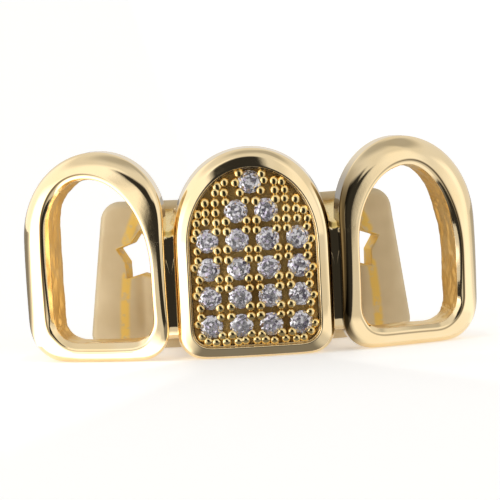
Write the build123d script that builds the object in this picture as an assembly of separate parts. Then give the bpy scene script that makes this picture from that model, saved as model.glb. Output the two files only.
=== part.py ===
from build123d import *
import math
import os

# Millimetres. X runs to the right, Y backwards from the lips to the tongue, Z up from the biting edge.
# The teeth stand on an arch: a circle round an upright axis behind them. While the pieces are drawn
# the front of the middle tooth is at Y = 0, and the last step puts the middle of the footprint there.
# Mesial is the side of an outer tooth near the middle one, distal the side away from it.

# Arch and labial face
arch_radius = 25.0          # front of the teeth, from the arch axis
tooth_gap = 0.6             # between neighbouring frames, along the labial face
bow_radius = 38.0           # upright curve of the labial face
bow_height = 5.4            # height where the labial face stands out furthest
wall_depth = 2.3            # a tooth frame, front to back

# Frame of the middle tooth
cap_half_width = 4.33
cap_height = 11.5
cap_arch = 5.2              # height of the arch above the upright sides
cap_corner = 1.3            # rounding of the lower corners, seen from the front
cap_side_rim = 0.85         # width of the frame beside, above and under the panel
cap_top_rim = 1.08
cap_foot_rim = 0.7
cap_spring = cap_height - cap_arch

# Frames of the outer teeth
outer_distal = 4.98         # from the tooth's middle line
outer_mesial = 3.49
outer_mesial_lean = 0.5     # the mesial side leans in by this much from front to back
outer_height = 11.63
outer_arch_distal = 4.7     # height of the arch above the distal and above the mesial side
outer_arch_mesial = 3.93
outer_spring_distal = outer_height - outer_arch_distal
outer_spring_mesial = outer_height - outer_arch_mesial
outer_apex = 0.6            # the top of the arch lies this far to the distal side
outer_corner_distal = 2.0
outer_corner_mesial = 1.7
outer_distal_rim = 1.6      # width of the frame round its window
outer_mesial_rim = 0.93
outer_top_rim = 1.45
outer_foot_rim = 1.1
tooth_angle = math.degrees((cap_half_width + tooth_gap + outer_mesial) / arch_radius)

# Open window of an outer frame
window_distal = outer_distal - outer_distal_rim
window_mesial = outer_mesial - outer_mesial_rim
window_top = outer_height - outer_top_rim
window_apex = 0.75
window_arch_distal = 3.8
window_arch_mesial = 4.8
window_corner = 1.3
window_draft = 0.1          # every side comes in by this much from front to back

# Rounded edges of the frames
outer_round = 0.6
cap_round = 0.55
window_round = 0.28
panel_round = 0.12
back_round = 0.2

# Stone panel let into the middle tooth
panel_half_width = cap_half_width - cap_side_rim
panel_top = cap_height - cap_top_rim
panel_corner = 0.9
panel_sink = 0.45           # face of the panel behind the labial face of the frame
panel_thickness = 0.62
ledge_width = 0.4           # shelf behind the panel
fit_gap = 0.05              # between the panel and the frame, all round
seat_gap = 0.02             # between the panel and its shelf

# Round brilliant stones
stone_diameter = 1.3
stone_sides = 16            # of the girdle
girdle_height = 0.05
girdle_rise = 0.06          # lower edge of the girdle above the face of the panel
table_share = 0.57          # table width as a share of the diameter
crown_angle = 34.0
star_facet_angle = 20.0
upper_girdle_angle = 40.0
pavilion_angle = 41.0
lower_girdle_angle = 43.0
stone_gap = 0.03            # between a stone and its seat
bore_radius = 0.25          # hole under the stone
stones_in_row = [4, 4, 4, 4, 2, 1]    # from the lowest row up
stone_from_side = 0.99      # middle of the outermost stones to the edge of the panel
stone_from_foot = 1.11
stone_from_top = 0.76
lowest_row = cap_foot_rim + stone_from_foot
stone_pitch_up = (panel_top - stone_from_top - lowest_row) / (len(stones_in_row) - 1)
stone_pitch_across = 2 * (panel_half_width - stone_from_side) / (max(stones_in_row) - 1)

# Polished grains between the stones
grain_radius = 0.22
grain_sides = 6
grain_steps = 3             # steps of their lattice in one step of the stones
grain_gap = 0.01            # least distance to each other and to the edge of the panel
grain_bite = 0.15           # a stone's seat may cut this much off a grain's side
grain_profile = [(1.0, -0.5), (0.9, 0.45), (0.5, 0.95)]   # radius and height, as shares of the radius

# Back band
band_depth = 6.5            # its face towards the teeth, behind the labial face
band_thickness = 1.0
band_height = 8.4
band_top_end = 1.97         # from the middle of an outer star to the band's end, sideways, at the top
band_foot_end = 3.04        # the same at the foot
band_corner = 1.2           # of its upper corners
band_foot_corner = 0.8
band_round = 0.42
star_outer = 1.5
star_inner = 0.95
star_blunt = 0.1
star_height = 5.25
band_radius = arch_radius - band_depth
outer_star = band_radius * math.sin(math.radians(tooth_angle))

# Webs between neighbouring frames
web_past_cap = 0.23         # its middle plane, beyond the side of the middle frame
web_offset = cap_half_width + web_past_cap
web_thickness = 0.8
web_start = 1.0             # begins this far behind the labial face
web_front_low = 1.2
web_below_arch = 0.7        # its front ends this far below the mesial spring of the outer arch
web_front_high = outer_spring_mesial - web_below_arch
web_back_low = 0.5
web_back_high = 8.0
web_bite = 0.4              # how far it runs into the band

# Working allowances, cut away again by the next step
margin = 1.0


def labial_radius(z, inset):
    """Distance from the arch axis of a face that lies inset behind the labial face, at height z."""
    bow = bow_radius - inset
    return arch_radius - bow_radius + math.sqrt(bow ** 2 - (z - bow_height) ** 2)


def labial_plane(s, z, inset):
    """Plane touching that face at s along the arch and height z, with its normal pointing outwards."""
    turn = s / (arch_radius - inset)
    lean = math.asin((z - bow_height) / (bow_radius - inset))
    radius = labial_radius(z, inset)
    origin = (radius * math.sin(turn), arch_radius - radius * math.cos(turn), z)
    along = (math.cos(turn), math.sin(turn), 0)
    normal = (math.cos(lean) * math.sin(turn), -math.cos(lean) * math.cos(turn), math.sin(lean))
    return Plane(origin, x_dir=along, z_dir=normal)


def arch_turn(angle):
    """Turn round the arch axis."""
    return Pos(0, arch_radius, 0) * Rot(0, 0, angle) * Pos(0, -arch_radius, 0)


def radial_face(section):
    """Stand a section up in the middle plane, its X as distance from the arch axis."""
    return Plane((0, arch_radius, 0), x_dir=(0, -1, 0), z_dir=(-1, 0, 0)) * section


def ring_sector(section, half_angle):
    """Turn such a section round the arch axis, as far to the left as to the right."""
    axis = Axis((0, arch_radius, 0), (0, 0, 1))
    return arch_turn(-half_angle) * revolve(radial_face(section), axis, 2 * half_angle)


def labial_arc(inset, low, high):
    """Section of the bowed face between two heights."""
    return ThreePointArc((labial_radius(low, inset), low),
                         (labial_radius(bow_height, inset), bow_height),
                         (labial_radius(high, inset), high))


def labial_wall(front_inset, back):
    """Curved wall from a bowed front to a back line or arc, wide and high enough for any tooth."""
    front = labial_arc(front_inset, -margin, outer_height + margin)
    section = make_face([front, Line(front @ 1, back @ 1), back, Line(back @ 0, front @ 0)])
    half_angle = math.degrees(math.asin((outer_distal + margin) / (arch_radius - wall_depth)))
    return ring_sector(section, half_angle)


def tooth_face(sides, apex, heights, springs, corners, depth):
    """Outline of a tooth seen from the front: flat foot, round corners, upright sides and an arch.

    The arch is two quarter ellipses that meet at the apex. Sides, springs of the arch and corners
    are given as mesial and distal, heights as foot and top.
    """
    mesial, distal = sides
    foot, top = heights
    spring_m, spring_d = springs
    round_m, round_d = corners
    edges = [
        EllipticalCenterArc((apex, spring_d), distal - apex, top - spring_d, 0, arc_size=90),
        EllipticalCenterArc((apex, spring_m), mesial + apex, top - spring_m, 90, arc_size=90),
        Line((-mesial, spring_m), (-mesial, foot + round_m)),
        CenterArc((-mesial + round_m, foot + round_m), round_m, 180, 90),
        Line((-mesial + round_m, foot), (distal - round_d, foot)),
        CenterArc((distal - round_d, foot + round_d), round_d, 270, 90),
        Line((distal, foot + round_d), (distal, spring_d)),
    ]
    return Pos(0, depth, 0) * (Plane.XZ * make_face(edges))


def front_face(solid):
    """The face nearest the lips."""
    return solid.faces().sort_by(Axis.Y)[0]


def back_face(solid):
    """The face nearest the tongue."""
    return solid.faces().sort_by(Axis.Y)[-1]


def frame_wall():
    """Wall that every tooth frame is cut from."""
    upright = arch_radius - wall_depth
    return labial_wall(0, Line((upright, -margin), (upright, outer_height + margin)))


def tapered_block(sides, apex, heights, springs, corners, lean, draft):
    """Outer tooth outline carried back through the wall, the mesial side and all sides coming in."""
    behind = 2 * wall_depth
    mesial, distal = sides
    foot, top = heights
    front = tooth_face(sides, apex, heights, springs, corners, 0)
    sides = (mesial - 2 * (lean + draft), distal - 2 * draft)
    heights = (foot + 2 * draft, top - 2 * draft)
    back = tooth_face(sides, apex, heights, springs, corners, behind)
    return loft([front, back], ruled=True)


def outer_frame():
    """Open frame of the right neighbour, drawn in the place of the middle tooth."""
    block = tapered_block((outer_mesial, outer_distal), outer_apex, (0, outer_height),
                          (outer_spring_mesial, outer_spring_distal),
                          (outer_corner_mesial, outer_corner_distal), outer_mesial_lean, 0)
    frame = frame_wall() & block
    frame = fillet(front_face(frame).edges(), outer_round)
    springs = (window_top - window_arch_mesial, window_top - window_arch_distal)
    frame = frame - tapered_block((window_mesial, window_distal), window_apex,
                                  (outer_foot_rim, window_top), springs,
                                  (window_corner, window_corner), 0, window_draft)
    frame = fillet(front_face(frame).inner_wires()[0].edges(), window_round)
    return fillet(back_face(frame).edges(), back_round)


def panel_block(inset):
    """Outline of the panel, drawn in by inset, carried back through the wall."""
    half = panel_half_width - inset
    heights = (cap_foot_rim + inset, panel_top - inset)
    corner = panel_corner - inset
    face = tooth_face((half, half), 0, heights, (cap_spring, cap_spring), (corner, corner), -margin)
    return extrude(face, amount=2 * wall_depth + margin, dir=(0, 1, 0))


def middle_frame():
    """Frame of the middle tooth, with a pocket for the panel and a shelf behind it."""
    face = tooth_face((cap_half_width, cap_half_width), 0, (0, cap_height), (cap_spring, cap_spring),
                      (cap_corner, cap_corner), -margin)
    frame = frame_wall() & extrude(face, amount=2 * wall_depth + margin, dir=(0, 1, 0))
    frame = fillet(front_face(frame).edges(), cap_round)
    frame = frame - panel_block(ledge_width)
    frame = fillet(back_face(frame).edges(), back_round)
    shelf = labial_arc(panel_sink + panel_thickness + seat_gap, -margin, outer_height + margin)
    frame = frame - (labial_wall(-margin, shelf) & panel_block(0))
    return fillet(front_face(frame).inner_wires()[0].edges(), panel_round)


def star_face():
    """Five-pointed star with blunt points, one point up."""
    points = []
    for i in range(10):
        radius = star_outer if i % 2 == 0 else star_inner
        angle = math.radians(90 + 36 * i)
        points.append((radius * math.cos(angle), radius * math.sin(angle)))
    star = make_face(Polyline(*points, close=True))
    return fillet(star.vertices(), star_blunt)


def back_band():
    """Curved plate behind the teeth with slanted, rounded ends and a star cut through behind each tooth."""
    section = Pos(band_radius - band_thickness / 2, band_height / 2) * Rectangle(
        band_thickness, band_height + 2 * margin)
    top_half = outer_star + band_top_end
    foot_half = outer_star + band_foot_end
    half_angle = math.degrees(math.asin((foot_half + margin) / (band_radius - band_thickness)))
    ends = make_face(Polyline((-foot_half, 0), (foot_half, 0), (top_half, band_height),
                              (-top_half, band_height), close=True))
    ends = fillet(ends.vertices().group_by(Axis.Y)[-1], band_corner)
    ends = Plane.XZ * fillet(ends.vertices().group_by(Axis.Y)[0], band_foot_corner)
    band = ring_sector(section, half_angle) & extrude(ends, amount=arch_radius, dir=(0, 1, 0))
    band = fillet(band.edges(), band_round)
    star = extrude(Pos(0, 0, star_height) * (Plane.XZ * star_face()), amount=arch_radius, dir=(0, 1, 0))
    for angle in (-tooth_angle, 0, tooth_angle):
        band = band - arch_turn(angle) * star
    return band


def web():
    """Upright plate between the middle and the right frame that runs back to the band and grows taller."""
    front = arch_radius - math.sqrt((arch_radius - web_start) ** 2 - web_offset ** 2)
    back = arch_radius - math.sqrt((band_radius - web_bite) ** 2 - web_offset ** 2)
    profile = make_face(Polyline((front, web_front_low), (front, web_front_high), (back, web_back_high),
                                 (back, web_back_low), close=True))
    return Pos(web_offset, 0, 0) * extrude(Plane.YZ * profile, amount=web_thickness / 2, both=True)


def cast_frame():
    """The three frames, the webs and the band, cast and soldered into one."""
    right = arch_turn(tooth_angle) * outer_frame() + web()
    return middle_frame() + right + mirror(right, about=Plane.YZ) + back_band()


def stone_places():
    """Place of each stone as distance along the arch and height, from the lowest row up."""
    places = []
    for row, count in enumerate(stones_in_row):
        for i in range(count):
            places.append(((i - (count - 1) / 2) * stone_pitch_across, lowest_row + row * stone_pitch_up))
    return places


def cut_facets(solid, count, first, angle, radius, height):
    """Cut flats round the upright axis, each leaning at the angle through a point at radius and height."""
    slope = math.radians(abs(angle))
    side = 1 if angle > 0 else -1
    for i in range(count):
        around = math.radians(first + 360 / count * i)
        out = (math.cos(around), math.sin(around))
        normal = (math.sin(slope) * out[0], math.sin(slope) * out[1], side * math.cos(slope))
        cutter = Plane((radius * out[0], radius * out[1], height), z_dir=normal)
        solid = split(solid, bisect_by=cutter, keep=Keep.BOTTOM)
    return solid


def brilliant():
    """Round brilliant with its girdle's lower edge at height 0 and its table up."""
    radius = stone_diameter / 2
    flat = radius * math.cos(math.pi / stone_sides)
    table = radius * table_share
    step = 360 / stone_sides
    mains = stone_sides // 2
    table_height = girdle_height + (radius - table) * math.tan(math.radians(crown_angle))
    blank = extrude(RegularPolygon(radius, stone_sides), amount=2 * radius)
    blank = Pos(0, 0, -radius) * blank
    stone = split(blank, bisect_by=Plane((0, 0, table_height)), keep=Keep.BOTTOM)
    stone = cut_facets(stone, mains, 0, crown_angle, radius, girdle_height)
    stone = cut_facets(stone, mains, step, star_facet_angle, table * math.cos(math.pi / mains), table_height)
    stone = cut_facets(stone, stone_sides, step / 2, upper_girdle_angle, flat, girdle_height)
    stone = cut_facets(stone, mains, 0, -pavilion_angle, radius, 0)
    return cut_facets(stone, stone_sides, step / 2, -lower_girdle_angle, flat, 0)


def stone_seat():
    """What a seat takes out of the panel: room for the girdle, a cone for the pavilion and a bore."""
    radius = stone_diameter / 2 + stone_gap
    cone = (radius - bore_radius) * math.tan(math.radians(pavilion_angle))
    profile = make_face(Polyline((0, margin), (radius, margin), (radius, -stone_gap),
                                 (bore_radius, -stone_gap - cone), (bore_radius, -margin),
                                 (0, -margin), close=True))
    return revolve(Plane.XZ * profile, Axis.Z)


def grain():
    """Faceted dome whose root reaches into the panel."""
    rings = [Pos(0, 0, grain_radius * z) * RegularPolygon(grain_radius * r, grain_sides)
             for r, z in grain_profile]
    return loft(rings, ruled=True)


def inside_panel(s, z, inset):
    """Whether a point lies inside the panel's outline drawn in by inset."""
    half = panel_half_width - inset
    rise = panel_top - inset - cap_spring
    if z > cap_spring:
        return (s / half) ** 2 + ((z - cap_spring) / rise) ** 2 < 1
    corner = panel_corner - inset
    over_side = max(abs(s) - (half - corner), 0)
    over_foot = max(cap_foot_rim + inset + corner - z, 0)
    return math.hypot(over_side, over_foot) < corner


def grain_places():
    """Four grains round each stone, then a lattice wherever stones and other grains leave room."""
    stones = stone_places()
    across = stone_pitch_across / grain_steps
    up = stone_pitch_up / grain_steps
    wanted = [(s + side * across, z + level * up) for s, z in stones for side in (-1, 1) for level in (-1, 1)]
    columns = math.ceil(panel_half_width / across)
    rows = math.ceil(panel_top / up)
    wanted += [((column + 0.5) * across, lowest_row + row * up)
               for row in range(-rows, rows) for column in range(-columns, columns)]
    clear_of_stone = stone_diameter / 2 + grain_radius - grain_bite
    clear_of_grain = 2 * grain_radius + grain_gap
    places = []
    for s, z in wanted:
        far = all(math.hypot(s - a, z - b) > clear_of_stone for a, b in stones)
        apart = all(math.hypot(s - a, z - b) > clear_of_grain for a, b in places)
        if far and apart and inside_panel(s, z, fit_gap + grain_radius + grain_gap):
            places.append((s, z))
    return places


def pave_panel():
    """Panel with a seat for each stone and polished grains between them."""
    back = labial_arc(panel_sink + panel_thickness, -margin, outer_height + margin)
    panel = labial_wall(panel_sink, back) & panel_block(fit_gap)
    seat = Pos(0, 0, girdle_rise) * stone_seat()
    seats = [labial_plane(s, z, panel_sink) * seat for s, z in stone_places()]
    bead = grain()
    grains = [labial_plane(s, z, panel_sink) * bead for s, z in grain_places()]
    print("grains", len(grains))
    return panel + grains - seats


os.makedirs("parts", exist_ok=True)
pieces = {"cast_frame": cast_frame(), "pave_panel": pave_panel()}
cut_stone = Pos(0, 0, girdle_rise) * brilliant()
for number, (s, z) in enumerate(stone_places(), 1):
    pieces[f"stone_{number:02d}"] = labial_plane(s, z, panel_sink) * cut_stone

box = pieces["cast_frame"].bounding_box()
to_middle = Pos(-box.center().X, -box.center().Y, -box.min.Z)
for name, piece in pieces.items():
    export_step(to_middle * piece, f"parts/{name}.step")
print("size", box.size, "moved by", to_middle.position)
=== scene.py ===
# %% [markdown]
# # A gold tooth cover, cast and polished
#
# Three tooth frames stand on a small arch. The middle one holds a panel set with round stones, the outer
# two are open. A band with star cut-outs runs behind them, and upright webs join it to the frames.
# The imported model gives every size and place. This script gives the metal its rolled edges and its finish.

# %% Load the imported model
import math

import bmesh
import bpy
import numpy as np
from mathutils import Matrix, Vector


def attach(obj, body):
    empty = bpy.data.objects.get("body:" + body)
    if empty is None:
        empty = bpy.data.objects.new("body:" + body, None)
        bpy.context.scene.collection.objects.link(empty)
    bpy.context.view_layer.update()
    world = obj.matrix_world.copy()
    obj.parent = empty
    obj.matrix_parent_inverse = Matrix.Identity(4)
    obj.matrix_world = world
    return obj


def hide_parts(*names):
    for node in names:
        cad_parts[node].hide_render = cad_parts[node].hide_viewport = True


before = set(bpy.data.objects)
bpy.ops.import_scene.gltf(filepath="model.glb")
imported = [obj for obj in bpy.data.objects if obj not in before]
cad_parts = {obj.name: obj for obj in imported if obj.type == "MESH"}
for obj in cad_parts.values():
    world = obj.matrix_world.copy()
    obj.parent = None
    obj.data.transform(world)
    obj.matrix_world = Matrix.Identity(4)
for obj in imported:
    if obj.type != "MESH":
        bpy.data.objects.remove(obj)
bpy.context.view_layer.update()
mm = 0.001

# %% [markdown]
# ## The camera
#
# The object is small and was photographed from some distance, so the lens is long and the perspective is
# weak. The camera stands a little to the left and a little above the middle tooth, and it is rolled, which
# is why the right tooth looks higher than the left one. Placing it first lets every later piece be judged
# in the final view.

# %% Camera
look_at = Vector((-0.033, -0.98, 5.62)) * mm
camera_distance = 200 * mm
camera_azimuth = math.radians(-2.0)
camera_elevation = math.radians(5.0)
camera_roll = math.radians(3.0)

camera_data = bpy.data.cameras.new("long_lens")
camera_data.sensor_width = 36.0
camera_data.lens = 258.3
camera = bpy.data.objects.new("long_lens", camera_data)
bpy.context.scene.collection.objects.link(camera)
bpy.context.scene.camera = camera
towards_camera = Vector((math.sin(camera_azimuth) * math.cos(camera_elevation),
                         -math.cos(camera_azimuth) * math.cos(camera_elevation),
                         math.sin(camera_elevation)))
upright = (-towards_camera).to_track_quat("-Z", "Y")
camera.rotation_mode = "QUATERNION"
camera.rotation_quaternion = upright @ Matrix.Rotation(-camera_roll, 3, "Z").to_quaternion()
camera.location = look_at + towards_camera * camera_distance
print("camera at, mm", [round(v / mm, 1) for v in camera.location])

# %% [markdown]
# ## The arch that the teeth stand on
#
# Every tooth is drawn once, in the place of the middle one: s runs sideways, z runs up, and depth runs
# straight back from the bowed front. Turning the drawing round the upright axis of the arch puts it in
# place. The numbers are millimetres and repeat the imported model's own.

# %% Arch
arch_radius = 25.0
arch_axis = 20.014          # how far behind the part's origin the upright axis stands
bow_radius = 38.0
bow_height = 5.4
wall_depth = 2.3
tooth_angle = math.radians(19.297)


def front_radius(z, inset=0.0):
    """Distance of the front from the arch axis: an upright circle of the bow radius, round its own middle."""
    return arch_radius - bow_radius + np.sqrt((bow_radius - inset) ** 2 - (z - bow_height) ** 2)


def turned(x, y, z, angle):
    """Points given from the arch axis, turned round it, then shifted to the part's frame."""
    c, w = math.cos(angle), math.sin(angle)
    return np.stack([c * x - w * y, w * x + c * y + arch_axis, z + 0 * x], axis=-1)


def on_tooth(s, z, depth, angle):
    """Points at s, z and depth of the drawing: the depth is added straight behind the bowed front."""
    return turned(s, depth - np.sqrt(front_radius(z) ** 2 - s ** 2), z, angle)


def full_depth(s, z):
    """Depth of the upright round back of a frame, below each point of its bowed front."""
    back = arch_radius - wall_depth
    return np.sqrt(front_radius(z) ** 2 - s ** 2) - np.sqrt(back ** 2 - s ** 2)


# %% [markdown]
# ## From a grid of points to a mesh
#
# All new metal is a grid: one direction runs round an outline, the other round a cross-section. Joining
# each point to its neighbours gives four-sided faces, and letting the last row meet the first closes the
# form without a seam. Bevelled boxes would be quicker, but a polished rim shows every flat between them.

# %% Grid to mesh


def grid_faces(rows, columns, close_rows, close_columns, first=0):
    """Corner numbers of the faces between neighbouring points, wrapping round where a direction closes."""
    i = np.arange(rows if close_rows else rows - 1)[:, None]
    j = np.arange(columns if close_columns else columns - 1)[None, :]
    i2, j2 = (i + 1) % rows, (j + 1) % columns
    corners = [i * columns + j, i2 * columns + j, i2 * columns + j2, i * columns + j2]
    return np.stack([c + 0 * i + 0 * j for c in corners], axis=-1).reshape(-1, 4) + first


def make_piece(name, points, faces, flip=False):
    """Mesh object from points in millimetres and rows of corner numbers, shaded smooth."""
    faces = faces[:, ::-1] if flip else faces
    mesh = bpy.data.meshes.new(name)
    mesh.vertices.add(len(points))
    mesh.vertices.foreach_set("co", (points * mm).astype(np.float32).ravel())
    mesh.loops.add(faces.size)
    mesh.loops.foreach_set("vertex_index", faces.astype(np.int32).ravel())
    mesh.polygons.add(len(faces))
    mesh.polygons.foreach_set("loop_start", np.arange(0, faces.size, faces.shape[1], dtype=np.int32))
    mesh.polygons.foreach_set("use_smooth", np.ones(len(faces), bool))
    mesh.update(calc_edges=True)
    mesh.validate()
    piece = bpy.data.objects.new(name, mesh)
    bpy.context.scene.collection.objects.link(piece)
    return piece


def outward(points, faces):
    """Whether the faces point outwards: six times the volume that they enclose is then positive."""
    a, b, c, d = (points[faces[:, corner]] for corner in range(4))
    volume = np.einsum("ij,ij->i", a, np.cross(b, c)) + np.einsum("ij,ij->i", a, np.cross(c, d))
    return volume.sum() > 0


def closed_piece(name, points, faces):
    """Piece whose faces point outwards, whichever way its grid was wound."""
    piece = make_piece(name, points, faces, flip=not outward(points, faces))
    print(name, len(points), "points,", len(faces), "faces")
    return piece


print("faces that close a grid of 4 by 4 points both ways:", len(grid_faces(4, 4, True, True)))

# %% [markdown]
# ## The outline of a tooth
#
# Seen from the front a frame is an arch on a flat foot with round corners. The outline is put together from
# seven stretches, each with its own share of the points, so that the outer outline and the window have
# matching points and can be blended into each other. A Gaussian blur round the loop takes out the small
# steps in curvature where the stretches meet, because polished metal shows them.

# %% Tooth outline
loop_counts = (86, 86, 62, 30, 60, 34, 62)      # arch, arch, side, corner, foot, corner, side
outline_blur = 4.0                              # all blurs are in points of the loop
size_blur = 9.0


def arc(centre, radii, start, stop, count):
    """Points on an ellipse round the centre, from one angle to the other in degrees, without the last."""
    a = np.radians(np.linspace(start, stop, count, endpoint=False))
    return np.stack([centre[0] + radii[0] * np.cos(a), centre[1] + radii[1] * np.sin(a)], axis=-1)


def run(start, stop, count):
    """Evenly spaced points on a straight stretch, without the last."""
    share = np.linspace(0, 1, count, endpoint=False)[:, None]
    return np.array(start) * (1 - share) + np.array(stop) * share


def blur_loop(values, sigma):
    """Gaussian blur round a loop: its Fourier terms are damped by a Gaussian."""
    waves = np.fft.rfftfreq(len(values))
    damping = np.exp(-2 * (np.pi * waves * sigma) ** 2)
    shape = (-1,) + (1,) * (values.ndim - 1)
    return np.fft.irfft(np.fft.rfft(values, axis=0) * damping.reshape(shape), n=len(values), axis=0)


def tooth_outline(sides, apex, heights, springs, corners):
    """Loop of (s, z) from the distal spring of the arch over its top and round the foot."""
    mesial, distal = sides
    foot, top = heights
    spring_m, spring_d = springs
    corner_m, corner_d = corners
    stretches = [
        arc((apex, spring_d), (distal - apex, top - spring_d), 0, 90, loop_counts[0]),
        arc((apex, spring_m), (mesial + apex, top - spring_m), 90, 180, loop_counts[1]),
        run((-mesial, spring_m), (-mesial, foot + corner_m), loop_counts[2]),
        arc((-mesial + corner_m, foot + corner_m), (corner_m, corner_m), 180, 270, loop_counts[3]),
        run((-mesial + corner_m, foot), (distal - corner_d, foot), loop_counts[4]),
        arc((distal - corner_d, foot + corner_d), (corner_d, corner_d), 270, 360, loop_counts[5]),
        run((distal, foot + corner_d), (distal, spring_d), loop_counts[6]),
    ]
    return blur_loop(np.concatenate(stretches), outline_blur)


def facing(loop):
    """Direction that each point of the loop faces, in degrees: 0 distal, 90 up, 180 mesial, 270 down."""
    ahead = np.roll(loop, -1, axis=0) - np.roll(loop, 1, axis=0)
    return np.degrees(np.arctan2(-ahead[:, 0], ahead[:, 1])) % 360


def by_facing(loop, directions, values, blur=size_blur):
    """A size that changes round the loop: read from a short table by direction, blurred, one row a point."""
    return blur_loop(np.interp(facing(loop), directions, values, period=360), blur)[:, None]


print("points round an outline", sum(loop_counts))

# %% [markdown]
# ## Which point of the window lies opposite a point of the outline
#
# The window has its own shape, so its arches start at other heights than those of the outline. A ray from
# each outline point, square to the outline, is crossed with every stretch of the window. Where it meets
# the window first is the opposite point, and a blur round the loop keeps neighbouring rays in step.

# %% Opposite points
almost_zero = 1e-9
very_far = 1e9
place_blur = 7.0


def opposite(outer, inner):
    """Place along the inner loop, counted in its points, that each outer point looks at."""
    angle = np.radians(facing(outer))[:, None]
    inward = -np.stack([np.cos(angle), np.sin(angle)], axis=-1)
    start = inner[None] - outer[:, None]
    along = (np.roll(inner, -1, axis=0) - inner)[None]
    cross = inward[..., 0] * along[..., 1] - inward[..., 1] * along[..., 0]
    cross = np.where(np.abs(cross) < almost_zero, almost_zero, cross)
    far = (start[..., 0] * along[..., 1] - start[..., 1] * along[..., 0]) / cross
    share = (start[..., 0] * inward[..., 1] - start[..., 1] * inward[..., 0]) / cross
    far = np.where((share >= 0) & (share < 1) & (far > 0), far, very_far)
    hit = np.argmin(far, axis=1)
    place = hit + share[np.arange(len(outer)), hit]
    step = (np.diff(place, append=place[0]) + len(inner) / 2) % len(inner) - len(inner) / 2
    lag = place[0] + np.concatenate([[0], np.cumsum(step)[:-1]]) - np.arange(len(outer))
    return blur_loop(lag, place_blur) + np.arange(len(outer))


def at_places(loop, places):
    """Points of a loop at fractional places, between its own points."""
    closed = np.concatenate([loop, loop[:1]])
    where = places % len(loop)
    return np.stack([np.interp(where, np.arange(len(closed)), closed[:, k]) for k in (0, 1)], axis=-1)


print("opposite places are blurred over", place_blur, "points")

# %% [markdown]
# ## A rolled rim
#
# The wax of such a frame is a round bar that was filed into shape. Its front climbs over the outside edge in
# a large radius, turns at a narrow crest and falls into the window over a polished bevel. Behind the bevel
# the inside wall was never polished. Arcs and straight runs, each going on where the last one ended, make
# this cross-section, and carrying it round the outline with radii that change by direction makes the frame.

# %% Section from arcs and straight runs
back_round = 0.2
crest_radius = 0.3
lip_radius = 0.06
half_turn = math.pi
quarter_turn = math.pi / 2

# Places of some steps in the rim's list.
outer_wall, broad_roll, crest_arc, bevel_run, inner_wall = 1, 3, 5, 6, 8


def profile(start, steps):
    """Across and depth of a section, and the first column of each step.

    A step is (count, radius, slope from, slope to) for an arc and (count, length, slope) for a straight run.
    Slope 0 runs across towards the window and a quarter turn runs straight back.
    """
    across, deep = start
    still = 0 * deep
    columns_across, columns_deep, firsts = [], [], [0]
    for count, size, slope, *to in steps:
        share = np.linspace(0, 1, count, endpoint=False)[None, :] + still
        if to:
            turn = slope + (to[0] - slope) * share
            columns_across.append(across + size * (np.sin(turn) - np.sin(slope)))
            columns_deep.append(deep + size * (np.cos(slope) - np.cos(turn)))
            across = across + size * (np.sin(to[0]) - np.sin(slope))
            deep = deep + size * (np.cos(slope) - np.cos(to[0]))
        else:
            columns_across.append(across + size * np.cos(slope) * share)
            columns_deep.append(deep + size * np.sin(slope) * share)
            across = across + size * np.cos(slope)
            deep = deep + size * np.sin(slope)
        firsts.append(firsts[-1] + count)
    return np.concatenate(columns_across, axis=1), np.concatenate(columns_deep, axis=1), firsts


print("a rim's radii, mm: back", back_round, "crest", crest_radius, "lip", lip_radius)

# %% Section of an open rim


def rim_profile(width, depth, edge, turn, roll, tilt, bevel, slope):
    """Section of an open rim: a small arc at the edge up to the turn, a broad one from there to the tilt.

    The crown, a straight run at the tilt, fills what the arcs leave of the width. Where they leave none,
    the broad arc is made smaller.
    """
    crest = crest_radius * (np.sin(slope) + np.sin(tilt))
    lip = lip_radius * (1 - np.sin(slope))
    room = width - crest - bevel - lip - edge * (1 - np.sin(turn))
    roll = np.minimum(roll, room / (np.sin(turn) - np.sin(tilt)))
    crown = room - roll * (np.sin(turn) - np.sin(tilt))
    roll_top = (edge * np.cos(turn) + roll * (np.cos(tilt) - np.cos(turn)) + crown * np.tan(tilt)
                + crest_radius * (1 - np.cos(tilt)))
    lip_foot = crest_radius * (1 - np.cos(slope)) + bevel * np.tan(slope) + lip_radius * np.cos(slope)
    wall = depth - back_round
    return profile((back_round, depth), [
        (6, back_round, -half_turn, -quarter_turn),
        (8, wall - roll_top, -quarter_turn),
        (8, edge, -quarter_turn, -turn),
        (18, roll, -turn, -tilt),
        (5, crown / np.cos(tilt), -tilt),
        (12, crest_radius, -tilt, slope),
        (6, bevel / np.cos(slope), slope),
        (5, lip_radius, slope, quarter_turn),
        (26, wall - lip_foot, quarter_turn),
        (5, back_round, quarter_turn, half_turn),
        (7, width - 2 * back_round, half_turn),
    ])


# %% [markdown]
# ## Rough skin for the walls that no tool reached
#
# The inside walls keep the skin of the casting, with small pits and lumps. A Displace modifier could add
# them, with a vertex group to spare the polished front. Working on the grid is simpler: the inner columns
# are known by number, and white noise damped to waves of a chosen length repeats itself at the ends, so it
# closes round the loop. Slower noise of the same kind gives the unsteadiness of the polisher's hand.

# %% Casting skin
skin_height = 0.018
lump_waves = (5, 3)
grain_waves = (1.6, 1.1)
grain_share = 0.45
grain_seed = 50


def skin(rows, columns, wave_rows, wave_columns, seed):
    """Smooth noise of unit strength on a grid: Fourier terms of white noise damped by a Gaussian."""
    noise = np.random.default_rng(seed).standard_normal((rows, columns))
    waves = (np.fft.fftfreq(rows)[:, None] * wave_rows) ** 2 + (np.fft.fftfreq(columns) * wave_columns) ** 2
    field = np.real(np.fft.ifft2(np.fft.fft2(noise) * np.exp(-2 * math.pi ** 2 * waves)))
    return field / field.std()


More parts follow.
